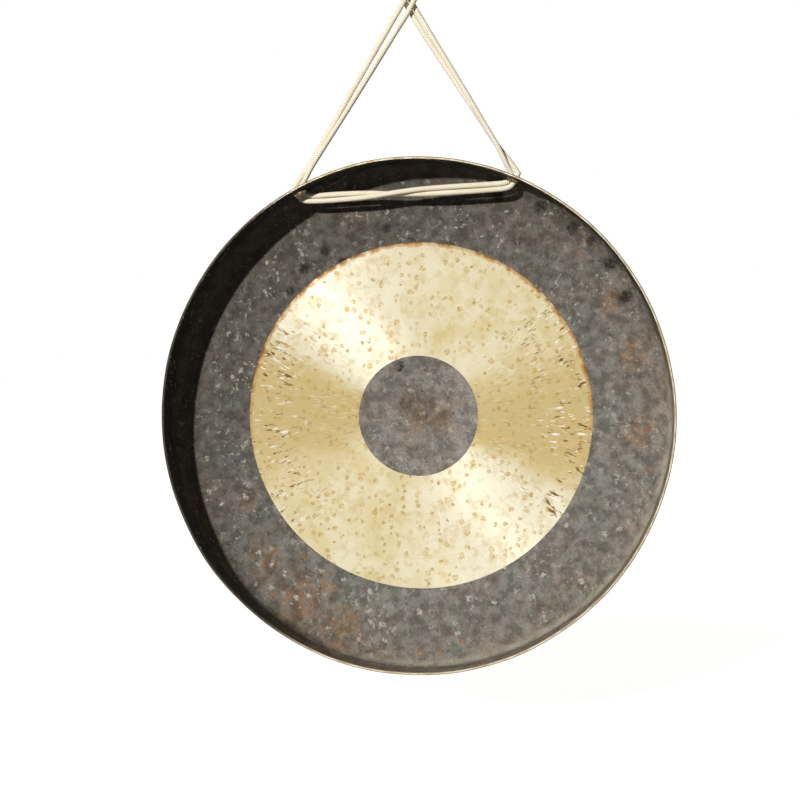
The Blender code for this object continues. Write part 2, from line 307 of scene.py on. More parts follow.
# %% Loop and tails
LOOP_WIDTH = 0.026
LOOP_FOOT = 0.009
LOOP_RISE = ((0.0056, 0.0060), (0.0101, 0.0150))
LOOP_ARCH = (180, 150, 120)
LOOP_INTO_KNOT = 0.012
TAIL_OUT = (0.62, -0.30, 0.72)
TAIL_INTO_KNOT = 0.5
TAIL_ROUTE = (
    (0, 0, 0),
    (0.0060, -0.0025, 0.0050),
    (0.0150, -0.0045, 0.0050),
    (0.0221, -0.0060, 0.0016),
    (0.0240, -0.0070, -0.0072),
    (0.0235, -0.0070, -0.0160),
)


def loop_route():
    """The bight over the hook, from the knot up one side and down the other."""
    half = LOOP_WIDTH / 2
    foot = knot_centre.z + math.sqrt(KNOT_REACH**2 - (LOOP_FOOT / 2) ** 2)
    top = CORD_RADIUS
    left = [Vector((-LOOP_FOOT / 2, 0, foot - LOOP_INTO_KNOT)), Vector((-LOOP_FOOT / 2, 0, foot))]
    for half_width, height in LOOP_RISE:
        left.append(Vector((-half_width, 0, foot + height)))
    for degrees in LOOP_ARCH:
        angle = math.radians(degrees)
        left.append(Vector((half * math.cos(angle), 0, top - half + half * math.sin(angle))))
    right = [Vector((-point.x, 0, point.z)) for point in left[::-1]]
    return [*left, Vector((0, 0, top)), *right]


def tail_route(side):
    """A cut end, from inside the knot out to one side. The two are half a turn apart."""
    start = Vector(TAIL_OUT).normalized() * KNOT_REACH
    route = [start * TAIL_INTO_KNOT] + [start + Vector(offset) for offset in TAIL_ROUTE]
    return [knot_centre + Vector((side * point.x, side * point.y, point.z)) for point in route]


print("the loop is", round(length_of(smooth_route(loop_route(), PATH_STEP)), 3), "m long")

# %% [markdown]
# ## The knot
#
# Four strands enter the knot from below and four leave it above: two into the loop and two as
# tails. An overhand knot in such a bundle shows as a band of four strands that passes round the
# bundle once and a little more, climbing, and dives back under itself. Each strand gets that
# route with its own place in the band.

# %% Knot route
KNOT_BAND_STEP = 0.005612
KNOT_BAND_TILT = math.radians(-24)
KNOT_WRAP_START = 150
KNOT_WRAP_STEPS = 14
KNOT_WRAP_TURN = 33
KNOT_WRAP_INNER = 0.0118
KNOT_WRAP_OUTER = 0.0155
KNOT_OUTER_TUCK = 0.0022
KNOT_CLIMB = 0.0030
KNOT_CORE = 0.0034
KNOT_FOOT = (-0.017, -0.008)
KNOT_HEAD = (0.010, 0.017)
KNOT_PLACES = (-1.5, -0.5, 0.5, 1.5)


def knot_route(place):
    """One strand through the knot. Its place in the band is -1.5, -0.5, 0.5 or 1.5."""
    side = 1 if place > 0 else -1
    row = 1 if abs(place) > 1 else -1
    corner = Vector((side, row, 0)) * KNOT_CORE
    route = [corner + Vector((0, 0, height)) for height in KNOT_FOOT]
    tilt = Matrix.Rotation(KNOT_BAND_TILT, 3, "Y")
    for n in range(KNOT_WRAP_STEPS + 1):
        share = n / KNOT_WRAP_STEPS
        angle = math.radians(KNOT_WRAP_START + KNOT_WRAP_TURN * n)
        reach = KNOT_WRAP_INNER + (KNOT_WRAP_OUTER - KNOT_WRAP_INNER) * share
        reach -= KNOT_OUTER_TUCK * (abs(place) > 1)
        height = place * KNOT_BAND_STEP + KNOT_CLIMB * (share - 0.5)
        route.append(tilt @ Vector((reach * math.cos(angle), reach * math.sin(angle), height)))
    route += [corner + Vector((0, 0, height)) for height in KNOT_HEAD]
    return [knot_centre + point for point in route]


print("one strand in the knot has", len(knot_route(KNOT_PLACES[0])), "route points")

# %% [markdown]
# ## A braided tube
#
# A braided cord isn't a smooth tube: its carriers cross in a small diamond pattern that catches
# the light. A curve with a round bevel can't hold that, so the tube is made as a mesh, ring by
# ring along the route. Each point is pushed out or in by a braid formula of its place along and
# round the cord, and the same number is kept as an attribute, so that the material can darken the
# grooves. A ring frame is carried along the route without twisting.

# %% Height of the braid
BRAID_SIDES = 32
BRAID_STEP = 0.00065
BRAID_CARRIERS = 8
BRAID_PITCH = 0.0115
BRAID_DEPTH = 0.00026
RIDGE_POWER = 0.7
CROSSING_DIP = 0.45


def braid_height(along, around):
    """Height of the braid, 0 in a groove and 1 on a carrier. Around is a share of a turn."""
    climb = along / BRAID_PITCH * BRAID_CARRIERS / 2
    turn = around * BRAID_CARRIERS / 2
    up, down = climb + turn, climb - turn
    over = (math.floor(up) + math.floor(down)) % 2
    main, cross = (up, down) if over else (down, up)
    ridge = math.sin(math.pi * (main % 1))
    fall = math.sin(math.pi * (cross % 1))
    return ridge**RIDGE_POWER * (1 - CROSSING_DIP + CROSSING_DIP * fall)


print("braid heights:", [round(braid_height(n * BRAID_STEP, 0.1), 2) for n in range(6)])

# %% Rings and skin of a tube
COTTON_RADIUS = 0.00305
CAP_ANGLES = (20, 40, 60, 78)
CAP_POLE = 0.02
WOBBLE = 0.035
WOBBLE_RATE = 90
WOBBLE_SHIFT = 7.1
NEARLY_ALONG_Y = 0.9


def tube_rings(line):
    """Rings as (centre, share of the radius) and two poles. The ends are rounded like a ball."""
    first = (line[0] - line[1]).normalized() * COTTON_RADIUS
    last = (line[-1] - line[-2]).normalized() * COTTON_RADIUS
    caps = [math.radians(angle) for angle in CAP_ANGLES]
    rings = [(line[0] + first * math.sin(a), math.cos(a)) for a in caps[::-1]]
    rings += [(point, 1.0) for point in line]
    rings += [(line[-1] + last * math.sin(a), math.cos(a)) for a in caps]
    return rings, [rings[0][0] + first * CAP_POLE, rings[-1][0] + last * CAP_POLE]


def braid_skin(rings, seed):
    """Points of every ring, their braid heights, and each ring's distance along the cord."""
    start = (rings[0][0] - rings[1][0]).normalized()
    side = Vector((0, 1, 0)) if abs(start.y) < NEARLY_ALONG_Y else Vector((1, 0, 0))
    verts, heights, lengths = [], [], []
    along = 0.0
    before = rings[0][0]
    for index, (point, share) in enumerate(rings):
        after = rings[min(index + 1, len(rings) - 1)][0]
        tangent = (after - before).normalized()
        side = (side - tangent * side.dot(tangent)).normalized()
        other = tangent.cross(side)
        along += (point - before).length
        wobble = 1 + WOBBLE * noise.noise(Vector((along * WOBBLE_RATE, seed * WOBBLE_SHIFT, 0)))
        for n in range(BRAID_SIDES):
            height = braid_height(along, n / BRAID_SIDES)
            reach = (COTTON_RADIUS * wobble - BRAID_DEPTH * (1 - height)) * share
            angle = math.tau * n / BRAID_SIDES
            verts.append(point + (side * math.cos(angle) + other * math.sin(angle)) * reach)
            heights.append(height)
        lengths.append(along)
        before = point
    return verts, heights, lengths


# %% Faces of a tube
def braid_faces(ring_count):
    """Faces from ring to ring and to both poles, and the (ring, place round) of each corner."""
    faces, corners = [], []
    for ring in range(ring_count - 1):
        low, high = ring * BRAID_SIDES, (ring + 1) * BRAID_SIDES
        for n in range(BRAID_SIDES):
            m = (n + 1) % BRAID_SIDES
            faces.append((low + n, low + m, high + m, high + n))
            corners += [(ring, n), (ring, n + 1), (ring + 1, n + 1), (ring + 1, n)]
    for end, ring in enumerate((0, ring_count - 1)):
        pole = ring_count * BRAID_SIDES + end
        for n in range(BRAID_SIDES):
            m = (n + 1) % BRAID_SIDES
            rim = [(ring * BRAID_SIDES + n, (ring, n)), (ring * BRAID_SIDES + m, (ring, n + 1))]
            if end == 0:
                rim.reverse()
            faces.append((rim[0][0], rim[1][0], pole))
            corners += [rim[0][1], rim[1][1], (ring, n)]
    return faces, corners


def braided_cord(name, points, seed=0):
    """A mesh tube of braid along a route, and the path that it follows."""
    rings, poles = tube_rings(smooth_route(points, BRAID_STEP))
    verts, heights, lengths = braid_skin(rings, seed)
    faces, corners = braid_faces(len(rings))
    mesh = bpy.data.meshes.new(name)
    mesh.from_pydata(verts + poles, [], faces)
    layer = mesh.uv_layers.new(name="braid")
    flat = [value for ring, n in corners for value in (lengths[ring], n / BRAID_SIDES)]
    layer.data.foreach_set("uv", flat)
    groove = mesh.attributes.new("braid_height", "FLOAT", "POINT")
    groove.data.foreach_set("value", heights + [0.5 for _ in poles])
    mesh.shade_smooth()
    piece = bpy.data.objects.new(name, mesh)
    bpy.context.scene.collection.objects.link(piece)
    print(name, "has", len(rings), "rings and", len(faces), "faces")
    return piece, smooth_route(points, PATH_STEP)


# %% Make the cords
cord_pieces = []
for name, route in inside_routes.items():
    piece, path = braided_cord(f"inside_braid_{name}", route, seed=len(cord_pieces))
    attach(piece, "gong")
    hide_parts(f"inside_cord_{name}")
    cord_pieces.append(piece)

for name, route in leg_routes.items():
    piece, path = braided_cord(f"{name}_braid", route, seed=len(cord_pieces))
    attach(piece, "sling")
    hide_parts(name)
    cord_pieces.append(piece)
print(len(cord_pieces), "stretches of cord below the knot")

# %% Make the knot, its tails and the loop
KNOT_SEED, TAIL_SEED, LOOP_SEED = 20, 30, 40
strands = []
for n, place in enumerate(KNOT_PLACES):
    strand, _ = braided_cord(f"knot_strand_{n}", knot_route(place), seed=KNOT_SEED + n)
    strands.append(strand)
bpy.ops.object.select_all(action="DESELECT")
for strand in strands:
    strand.select_set(True)
bpy.context.view_layer.objects.active = strands[0]
bpy.ops.object.join()
top_knot = bpy.context.object
top_knot.name = "top_knot_strands"
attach(top_knot, "knot")
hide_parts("top_knot")
cord_pieces.append(top_knot)

for name, side in zip(STRANDS, SIDES.values(), strict=True):
    piece, path = braided_cord(f"tail_{name}_braid", tail_route(side), seed=TAIL_SEED + side)
    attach(piece, "knot")
    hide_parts(f"tail_{name}")
    cord_pieces.append(piece)

hang_loop, loop_path = braided_cord("hang_loop_cord", loop_route(), seed=LOOP_SEED)
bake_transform(hang_loop)
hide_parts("hang_loop")
cord_pieces.append(hang_loop)
print(len(cord_pieces), "pieces of cord in all")

# %% [markdown]
# ## The gong's cross-section
#
# A gong is round, so its shape is one cross-section turned about its axis. The section runs down
# the struck face, round the shoulder, along the rim to the lip, and back up the hollow side. Both
# faces get stations at the same distances along the plate, so that a hammer dent pushes both by
# the same amount, as it does in real sheet metal.

# %% Stations of the section
FACE_STEP = 0.0040
CENTRE_FILL = 0.0035
TURN_STEPS = 10
WALL_STEPS = 8
LIP_CHAMFER = 0.0008
SPIN_STEPS = 384
SHOULDER_MID = SHOULDER_RADIUS - RIM_THICKNESS / 2
TURN_ARC = SHOULDER_MID * math.pi / 2


def crown(radius):
    """Rise of the plate's shallow dome towards the struck side."""
    return CROWN * (1 - (radius / FLAT_RADIUS) ** 2)


def face_stations():
    """Radii along the plate, close together at the two edges of the turned ring."""
    disc_edge = [DISC_RADIUS, DISC_RADIUS + STEP_WIDTH]
    ring_edge = [RING_RADIUS - STEP_WIDTH, RING_RADIUS]
    edges = [CENTRE_FILL, *disc_edge, *ring_edge, FLAT_RADIUS]
    radii = [edges[0]]
    for start, end in zip(edges, edges[1:], strict=False):
        count = max(1, round((end - start) / FACE_STEP))
        radii += [start + (end - start) * n / count for n in range(1, count + 1)]
    return radii


def side_section(height, shoulder, cut):
    """One side of the section, from the centre to the lip's chamfer, as (radius, y, distance)."""
    points = []
    for radius in face_stations():
        inside_ring = DISC_RADIUS + STEP_WIDTH / 2 < radius < RING_RADIUS - STEP_WIDTH / 2
        y = height + crown(radius) + (cut if inside_ring else 0)
        points.append((radius, y, radius))
    for n in range(1, TURN_STEPS + 1):
        angle = math.pi / 2 * (1 - n / TURN_STEPS)
        radius = FLAT_RADIUS + shoulder * math.cos(angle)
        y = WALL_TOP + shoulder * math.sin(angle)
        points.append((radius, y, FLAT_RADIUS + TURN_ARC * n / TURN_STEPS))
    wall = WALL_TOP - LIP_Y - LIP_CHAMFER
    for n in range(1, WALL_STEPS + 1):
        y = WALL_TOP - wall * n / WALL_STEPS
        radius = outer_radius(y) - (SHOULDER_RADIUS - shoulder)
        points.append((radius, y, FLAT_RADIUS + TURN_ARC + wall * n / WALL_STEPS))
    return points


struck_side = side_section(PLATE_THICKNESS, SHOULDER_RADIUS, -TURNED_CUT)
hollow_side = side_section(0, SHOULDER_RADIUS - RIM_THICKNESS, TURNED_CUT)
lip_distance = FLAT_RADIUS + TURN_ARC + WALL_TOP - LIP_Y
lip = outer_radius(LIP_Y)
lip_edge = [
    (lip - LIP_CHAMFER, LIP_Y, lip_distance),
    (lip - RIM_THICKNESS + LIP_CHAMFER, LIP_Y, lip_distance),
]
section = struck_side + lip_edge + hollow_side[::-1]
print(len(section), "stations in the section")

# %% [markdown]
# ## Turning the section
#
# By hand this is a lathe job in edit mode: a single point is extruded along the section, and Spin
# turns the line once round the Y axis. Spin leaves two copies of the first line, so doubles are
# merged. The small open circles at the centre are filled and the fill is fanned from its middle.

# %% Spin the gong
MERGE_DISTANCE = 0.00002

bpy.ops.object.select_all(action="DESELECT")
bpy.ops.mesh.primitive_plane_add(size=0.001, location=(section[0][0], section[0][1], 0))
gong = bpy.context.object
gong.name = "hammered_gong"
bpy.ops.object.transform_apply(location=True)
bpy.ops.object.mode_set(mode="EDIT")
bpy.ops.mesh.merge(type="CENTER")
for (r, y, _), (r_next, y_next, _) in zip(section, section[1:], strict=False):
    step = (r_next - r, y_next - y, 0)
    bpy.ops.mesh.extrude_region_move(TRANSFORM_OT_translate={"value": step})
bpy.ops.mesh.select_all(action="SELECT")
bpy.ops.mesh.spin(steps=SPIN_STEPS, angle=math.tau, center=(0, 0, 0), axis=(0, 1, 0))
bpy.ops.mesh.select_all(action="SELECT")
bpy.ops.mesh.remove_doubles(threshold=MERGE_DISTANCE)
bpy.ops.mesh.select_all(action="DESELECT")
bpy.ops.mesh.select_non_manifold()
bpy.ops.mesh.fill_holes(sides=SPIN_STEPS)
bpy.ops.mesh.poke()
bpy.ops.mesh.select_all(action="SELECT")
bpy.ops.mesh.normals_make_consistent(inside=False)
bpy.ops.object.mode_set(mode="OBJECT")
print(len(gong.data.vertices), "points in the gong,", len(gong.data.polygons), "faces")

# %% [markdown]
# ## Hammer work
#
# A gong is tuned with the hammer, so its plate is never flat: it is full of shallow dents, and the
# rim is a little uneven. The light on the bright ring breaks up on these. A Displace modifier with
# a texture could do it, but dents are separate blows, so each is placed by itself: a soft round
# hollow 18 to 38 mm across and up to 0.26 mm deep, from one side or the other. The sum of
# the blows is a height over the sheet, and both faces move by it, along the sheet's own normal.

# %% Blows of the hammer
BLOWS = 620
BLOW_SEED = 11
BLOW_RADIUS = (0.009, 0.019)
BLOW_DEPTH = (0.00006, 0.00026)
BLOW_FALLOFF = 2.2
RING_BLOW_SHARE = 0.55
WARP_SIZE = 0.095
WARP_DEPTH = 0.0014
RIM_WARP_SIZE = 0.075
RIM_WARP_DEPTH = 0.0015
RIM_WARP_SLICE = 7
STILL_CENTRE = 0.012
STILL_LIP = 0.010
LIP_WARP_SHARE = 0.6
TINY = 1e-6


def sheet_place(points):
    """Distance over the sheet from the centre, angle, and the sheet's outward normal."""
    r = np.hypot(points[:, 0], points[:, 2])
    angle = np.arctan2(points[:, 2], points[:, 0])
    y = points[:, 1]
    on_turn = (r > FLAT_RADIUS) & (y >= WALL_TOP)
    on_wall = y < WALL_TOP
    bend = np.arctan2(y - WALL_TOP, np.maximum(r - FLAT_RADIUS, TINY))
    distance = np.where(on_turn, FLAT_RADIUS + (math.pi / 2 - bend) * SHOULDER_MID, r)
    distance = np.where(on_wall, FLAT_RADIUS + TURN_ARC + WALL_TOP - y, distance)
    out = np.where(on_wall, 1.0, np.where(on_turn, np.cos(bend), 0.0))
    along = np.where(on_wall, 0.0, np.where(on_turn, np.sin(bend), 1.0))
    normal = np.stack([out * np.cos(angle), along, out * np.sin(angle)], 1)
    return distance, angle, normal


def hammered_height(distance, angle):
    """Sum of all the blows and of the sheet's slow warp, in metres."""
    rng = random.Random(BLOW_SEED)
    flat = np.stack([distance * np.cos(angle), distance * np.sin(angle)], 1)
    height = np.zeros(len(flat))
    for _ in range(BLOWS):
        reach = lip_distance * math.sqrt(rng.random())
        turn = rng.uniform(0, math.tau)
        radius = rng.uniform(*BLOW_RADIUS)
        depth = rng.uniform(*BLOW_DEPTH) * rng.choice((-1, 1))
        if DISC_RADIUS < reach < RING_RADIUS:
            depth *= RING_BLOW_SHARE
        gap = ((flat - [reach * math.cos(turn), reach * math.sin(turn)]) ** 2).sum(1) / radius**2
        height += depth * np.exp(-BLOW_FALLOFF * gap)
    warp = np.array([noise.noise(Vector((x, y, 0)) / WARP_SIZE) for x, y in flat])
    rim = np.array([noise.noise(Vector((x, y, RIM_WARP_SLICE)) / RIM_WARP_SIZE) for x, y in flat])
    on_rim = np.clip((distance - FLAT_RADIUS) / TURN_ARC, 0, 1)
    height += warp * WARP_DEPTH * (1 - on_rim) + rim * RIM_WARP_DEPTH * on_rim
    centre = np.clip(distance / STILL_CENTRE, 0, 1)
    edge = np.clip((lip_distance + LIP_CHAMFER - distance) / STILL_LIP, LIP_WARP_SHARE, 1)
    return height * centre * edge


count = len(gong.data.vertices)
points = np.empty(count * 3)
gong.data.vertices.foreach_get("co", points)
points = points.reshape(-1, 3)
distance, angle, normal = sheet_place(points)
height = hammered_height(distance, angle)
gong.data.vertices.foreach_set("co", (points + normal * height[:, None]).ravel())
gong.data.update()
print("hammered to between", round(height.min() * 1000, 2), "and", round(height.max() * 1000, 2), "mm")

# %% [markdown]
# ## Unrolling the sheet
#
# The tool marks of the lathe run round the gong, and brushed or turned metal stretches its
# reflections across its marks. The shader needs to know which way the marks run at each point, and
# a UV map says it: U is the share of a turn and V the distance from the centre over the sheet.

# %% UV map round the axis
NO_ANGLE_WITHIN = 1e-5


def unroll(mesh):
    """Writes the UV map from each face corner's angle and distance, without tearing at the seam."""
    layer = mesh.uv_layers.new(name="turning") if not mesh.uv_layers else mesh.uv_layers[0]
    layer.name = "turning"
    for face in mesh.polygons:
        turns = [angle[v] / math.tau for v in face.vertices]
        off_axis = [distance[v] > NO_ANGLE_WITHIN for v in face.vertices]
        middle = turns[off_axis.index(True)]
        turns = [turn + round(middle - turn) for turn in turns]
        corners = zip(face.loop_indices, face.vertices, turns, off_axis, strict=True)
        for loop, v, turn, has_angle in corners:
            layer.data[loop].uv = (turn if has_angle else middle, distance[v])


unroll(gong.data)
print("UV map:", gong.data.uv_layers[0].name)

# %% [markdown]
# ## Colours and a helper for nodes
#
# Colours are written as the screen shows them, in sRGB hex, and turned into the linear values that
# the shader works in. One function adds a node with its settings, its values and its links, and
# returns the output that the next node needs. Pattern sizes are written in millimetres, and turned
# into the scale that the texture nodes want.

# %% Colour and node helpers
def rgb(code):
    """Linear colour of an sRGB hex code."""
    parts = [int(code[n : n + 2], 16) / 255 for n in (1, 3, 5)]
    linear = [c / 12.92 if c <= 0.04045 else ((c + 0.055) / 1.055) ** 2.4 for c in parts]
    return (*linear, 1.0)


def per(size_mm):
    """Texture scale, per metre, of a pattern whose features are this size."""
    return 1000 / size_mm


def fill_in(material, node, values):
    """Writes a node's values. A value that is another node's output is linked instead."""
    for name, value in values.items():
        if isinstance(value, bpy.types.NodeSocket):
            material.node_tree.links.new(value, node.inputs[name])
        else:
            node.inputs[name].default_value = value


def add(material, kind, values, output=0, **settings):
    """Adds one node and returns one of its outputs."""
    made = material.node_tree.nodes.new("ShaderNode" + kind)
    for name, value in settings.items():
        setattr(made, name, value)
    fill_in(material, made, values)
    return made.outputs[output]


def finish(name):
    """A new material with its Principled shader."""
    material = bpy.data.materials.new(name)
    material.use_nodes = True
    return material, material.node_tree.nodes["Principled BSDF"]


# The colour mixer takes its amount and colours at sockets 0, 6 and 7, and gives its mix at 2
PAINT = {"output": 2, "data_type": "RGBA"}
SHADE = {"output": 2, "data_type": "RGBA", "blend_type": "MULTIPLY"}
EASED = {"interpolation_type": "SMOOTHSTEP"}
TIMES = {"operation": "MULTIPLY"}
print("middle grey is", round(rgb("#808080")[0], 3), "in linear light")

# %% [markdown]
# ## Patterns on the gong
#
# Every pattern on the gong is laid out from the gong's centre, so a Mapping node takes the object's
# coordinates back to the gong's own axes first. The finishes then share a few small patterns: soft
# patches of one size, which are noise with its middle stretched, round marks at given places, and
# cells strewn over the plate. A pattern can fade with a height, a depth or a distance, and coats of
# colour are laid over each other where the patterns are.

# %% Places on the gong
def gong_axes(material):
    """The point in the gong's own axes, so that a pattern keeps to the gong's centre."""
    place = add(material, "TexCoord", {}, "Object")
    where, turn, _ = gong_place.decompose()
    values = {"Vector": place, "Location": where, "Rotation": turn.to_euler()}
    return add(material, "Mapping", values, vector_type="TEXTURE")


def over_the_plate(material, place):
    """The point with its depth taken out, and its distance from the gong's axis."""
    parts = add(material, "SeparateXYZ", {0: place}).node.outputs
    flat = add(material, "CombineXYZ", {0: parts[0], 2: parts[2]})
    return flat, add(material, "VectorMath", {0: flat}, "Value", operation="LENGTH")


# %% Patches, marks and cells
def patches(material, place, size_mm, start, full, low=0.0, high=1.0, detail=4, rough=0.6):
    """Soft-edged patches of one size: low where the noise is under start, high where it is full."""
    values = {"Vector": place, "Scale": per(size_mm), "Detail": detail, "Roughness": rough}
    cloud = add(material, "TexNoise", values)
    values = {"Value": cloud, "From Min": start, "From Max": full, "To Min": low, "To Max": high}
    return add(material, "MapRange", values, **EASED)


def faded(material, pattern, value, start, full, low=0.0, high=1.0, **settings):
    """The pattern times low where the value is at start, and times high where it is full."""
    values = {"Value": value, "From Min": start, "From Max": full, "To Min": low, "To Max": high}
    share = add(material, "MapRange", values, **settings)
    return add(material, "Math", {0: pattern, 1: share}, **TIMES)


def round_marks(material, flat, spots, middle=0.35):
    """1 in the middle of any of these marks, given as (x, z, radius) in mm in the gong's axes."""
    total = 0.0
    for x, z, size in spots:
        centre = Vector((x, 0, z)) / 1000
        gap = add(material, "VectorMath", {0: flat, 1: centre}, "Value", operation="DISTANCE")
        values = {"Value": gap, "From Min": size / 1000, "From Max": size / 1000 * middle}
        inside = add(material, "MapRange", values, **EASED)
        total = add(material, "Math", {0: total, 1: inside}, operation="MAXIMUM")
    return total


def strewn_cells(material, place, flat, cell_mm, push_mm, push, detail):
    """Distance to the middle of the nearest cell, and three random numbers that the cell has.

    Noise pushes the point about first, by up to push metres, so that what is drawn isn't round.
    """
    parts = add(material, "SeparateXYZ", {0: flat}).node.outputs
    plan = add(material, "CombineXYZ", {0: parts[0], 1: parts[2]})
    values = {"Vector": place, "Scale": per(push_mm), "Detail": detail}
    shove = add(material, "TexNoise", values, "Color")
    plan = add(material, "VectorMath", {0: shove, 1: (push,) * 3, 2: plan}, operation="MULTIPLY_ADD")
    values = {"Vector": plan, "Scale": per(cell_mm)}
    cells = add(material, "TexVoronoi", values, voronoi_dimensions="2D").node.outputs
    return cells["Distance"], add(material, "SeparateColor", {0: cells["Color"]}).node.outputs


# %% [markdown]
# ## Black fire oxide on bronze
#
# Cast bronze comes out of the forge under a skin of oxide. It is grey-brown and mottled, darker
# towards the upper left and lighter towards the lower right, and painted shadow darkens the rim on
# the upper-left side, where the rim's shadow falls. Small pale flecks show where it flaked, dark
# scale is left in some hammer marks, and bare copper-coloured metal shows in a few spots near the
# edge. On the lower right the shoulder has a painted highlight, a pale strip that is also partly
# metallic and so gleams a little. The rest is dull: it scatters nearly all of its light and has
# little gloss, so its specular level is low.
#
# The patches are given as their size in mm, the noise where they start and are full, and, where it
# isn't 0 and 1, how much of them there is at those two.

# %% Oxide colours
OXIDE_WARM = rgb("#67615a")
OXIDE_COOL = rgb("#61615b")
OXIDE_BROWN = rgb("#574939")
OXIDE_RUST = rgb("#7a5a3a")
OXIDE_PAINTED_SHADOW = rgb("#24272a")
OXIDE_PAINTED_HIGHLIGHT = rgb("#cdc6b0")
OXIDE_PALE = rgb("#b9b4a8")
OXIDE_DARK = rgb("#28241f")
BARE_COPPER = rgb("#9a6a3e")
oxide, shader = finish("black_fire_oxide_on_bronze")
print("oxide starts from", [round(part, 3) for part in OXIDE_WARM[:3]])

# %% Oxide: cool and brown patches
COOL_PATCHES = (62, 0.36, 0.64)
COOL_HEIGHTS = (0.0, 0.20)
COOL_LEFT = 0.3
BROWN_PATCHES = (24, 0.48, 0.66, 0.0, 0.38)
BROWN_EDGE = (RING_RADIUS, FLAT_RADIUS + 0.02)
BROWN_EDGE_SHARE = 0.30
DISC_BLEND = 0.01

place = gong_axes(oxide)
flat, reach = over_the_plate(oxide, place)
height = add(oxide, "SeparateXYZ", {0: flat}).node.outputs[2]
cool = patches(oxide, place, *COOL_PATCHES, rough=0.55)
cool = faded(oxide, cool, height, *COOL_HEIGHTS, 1.0, COOL_LEFT)
cool = faded(oxide, cool, reach, DISC_RADIUS, DISC_RADIUS + DISC_BLEND, COOL_LEFT)
brown = patches(oxide, place, *BROWN_PATCHES, detail=6)
edge = faded(oxide, BROWN_EDGE_SHARE, reach, *BROWN_EDGE)
coats = ((cool, OXIDE_COOL), (brown, OXIDE_BROWN), (edge, OXIDE_BROWN))
colour = OXIDE_WARM
for amount, tone in coats:
    colour = add(oxide, "Mix", {0: amount, 6: colour, 7: tone}, **PAINT)
print(len(coats), "coats over the plain oxide")

# %% Oxide: rust and the disc's cloud
RUST_PATCHES = (
    (-150, -216, 44), (-196, -168, 34), (-104, -252, 42), (-124, -200, 28), (262, -30, 26),
    (258, 62, 28), (236, 122, 24), (-215, -100, 16),
)
RUST_MOTTLE = (10, 0.36, 0.64, 0.0, 0.62)
DISC_CLOUD = ((4, 4, 34), (24, -6, 26), (-8, 16, 24))
DISC_MOTTLE = (9, 0.35, 0.60, 0.35, 0.9)
CLOUD_MIDDLE = 0.2

for marks, mottle, tone in (
    (RUST_PATCHES, RUST_MOTTLE, OXIDE_RUST),
    (DISC_CLOUD, DISC_MOTTLE, OXIDE_BROWN),
):
    torn = patches(oxide, place, *mottle, detail=6)
    cloud = round_marks(oxide, flat, marks, CLOUD_MIDDLE)
    cloud = add(oxide, "Math", {0: cloud, 1: torn}, **TIMES)
    colour = add(oxide, "Mix", {0: cloud, 6: colour, 7: tone}, **PAINT)
print(len(RUST_PATCHES), "rusty places")

# %% Oxide: light and dark over the whole plate
UPPER_LEFT_SIDE = (-0.6, 0.0, 0.8)
UPPER_LEFT_REACH = 0.28
TONE_LOWER_RIGHT_TO_UPPER_LEFT = (1.66, 0.72)
DISC_PALER = 1.36
GRAIN = (2.6, 0.34, 0.66, 0.86, 1.16)
MOTTLE = (14, 0.36, 0.64, 0.71, 1.31)

# fire is how far a point lies towards the upper left. The colour is multiplied darker there and lighter
# towards the lower right.
fire = add(oxide, "VectorMath", {0: flat, 1: UPPER_LEFT_SIDE}, "Value", operation="DOT_PRODUCT")
shade = patches(oxide, place, *GRAIN, detail=5, rough=0.7)
mottle = patches(oxide, place, *MOTTLE, detail=5)
shade = add(oxide, "Math", {0: shade, 1: mottle}, **TIMES)
shade = faded(oxide, shade, fire, -UPPER_LEFT_REACH, UPPER_LEFT_REACH, *TONE_LOWER_RIGHT_TO_UPPER_LEFT, **EASED)
shade = faded(oxide, shade, reach, DISC_RADIUS + DISC_BLEND, DISC_RADIUS, 1.0, DISC_PALER, **EASED)
shade = add(oxide, "CombineColor", {0: shade, 1: shade, 2: shade})
colour = add(oxide, "Mix", {0: 1.0, 6: colour, 7: shade}, **SHADE)
print("the plate is shaded from", TONE_LOWER_RIGHT_TO_UPPER_LEFT[0], "to", TONE_LOWER_RIGHT_TO_UPPER_LEFT[1])

# %% Oxide: painted shadow on the rim and a painted highlight on the shoulder
# Both are at depths behind the plate and on one side. The painted highlight starts, is full, is still
# full and has ended at its four depths.
PAINTED_SHADOW_DEPTHS = (-0.012, -0.032)
PAINTED_SHADOW_REACH = (-0.19, -0.05)
PAINTED_SHADOW_SHARE = 0.85
SHEEN_STRIP_PATCHES = (20, 0.34, 0.62, 0.22, 0.78)
SHEEN_STRIP_SIDE = (0.64, 0.0, -0.77)
SHEEN_STRIP_REACH = (0.10, 0.27)
SHEEN_STRIP_DEPTHS = (-0.007, -0.016, -0.019, -0.027)
SHEEN_STRIP_METAL = 0.4

depth = add(oxide, "SeparateXYZ", {0: place}).node.outputs[1]
# Painted shadow: the rim is darkened on the upper-left side, where the rim's shadow falls.
painted_shadow = faded(oxide, PAINTED_SHADOW_SHARE, depth, *PAINTED_SHADOW_DEPTHS, **EASED)
painted_shadow = faded(oxide, painted_shadow, fire, *PAINTED_SHADOW_REACH, **EASED)
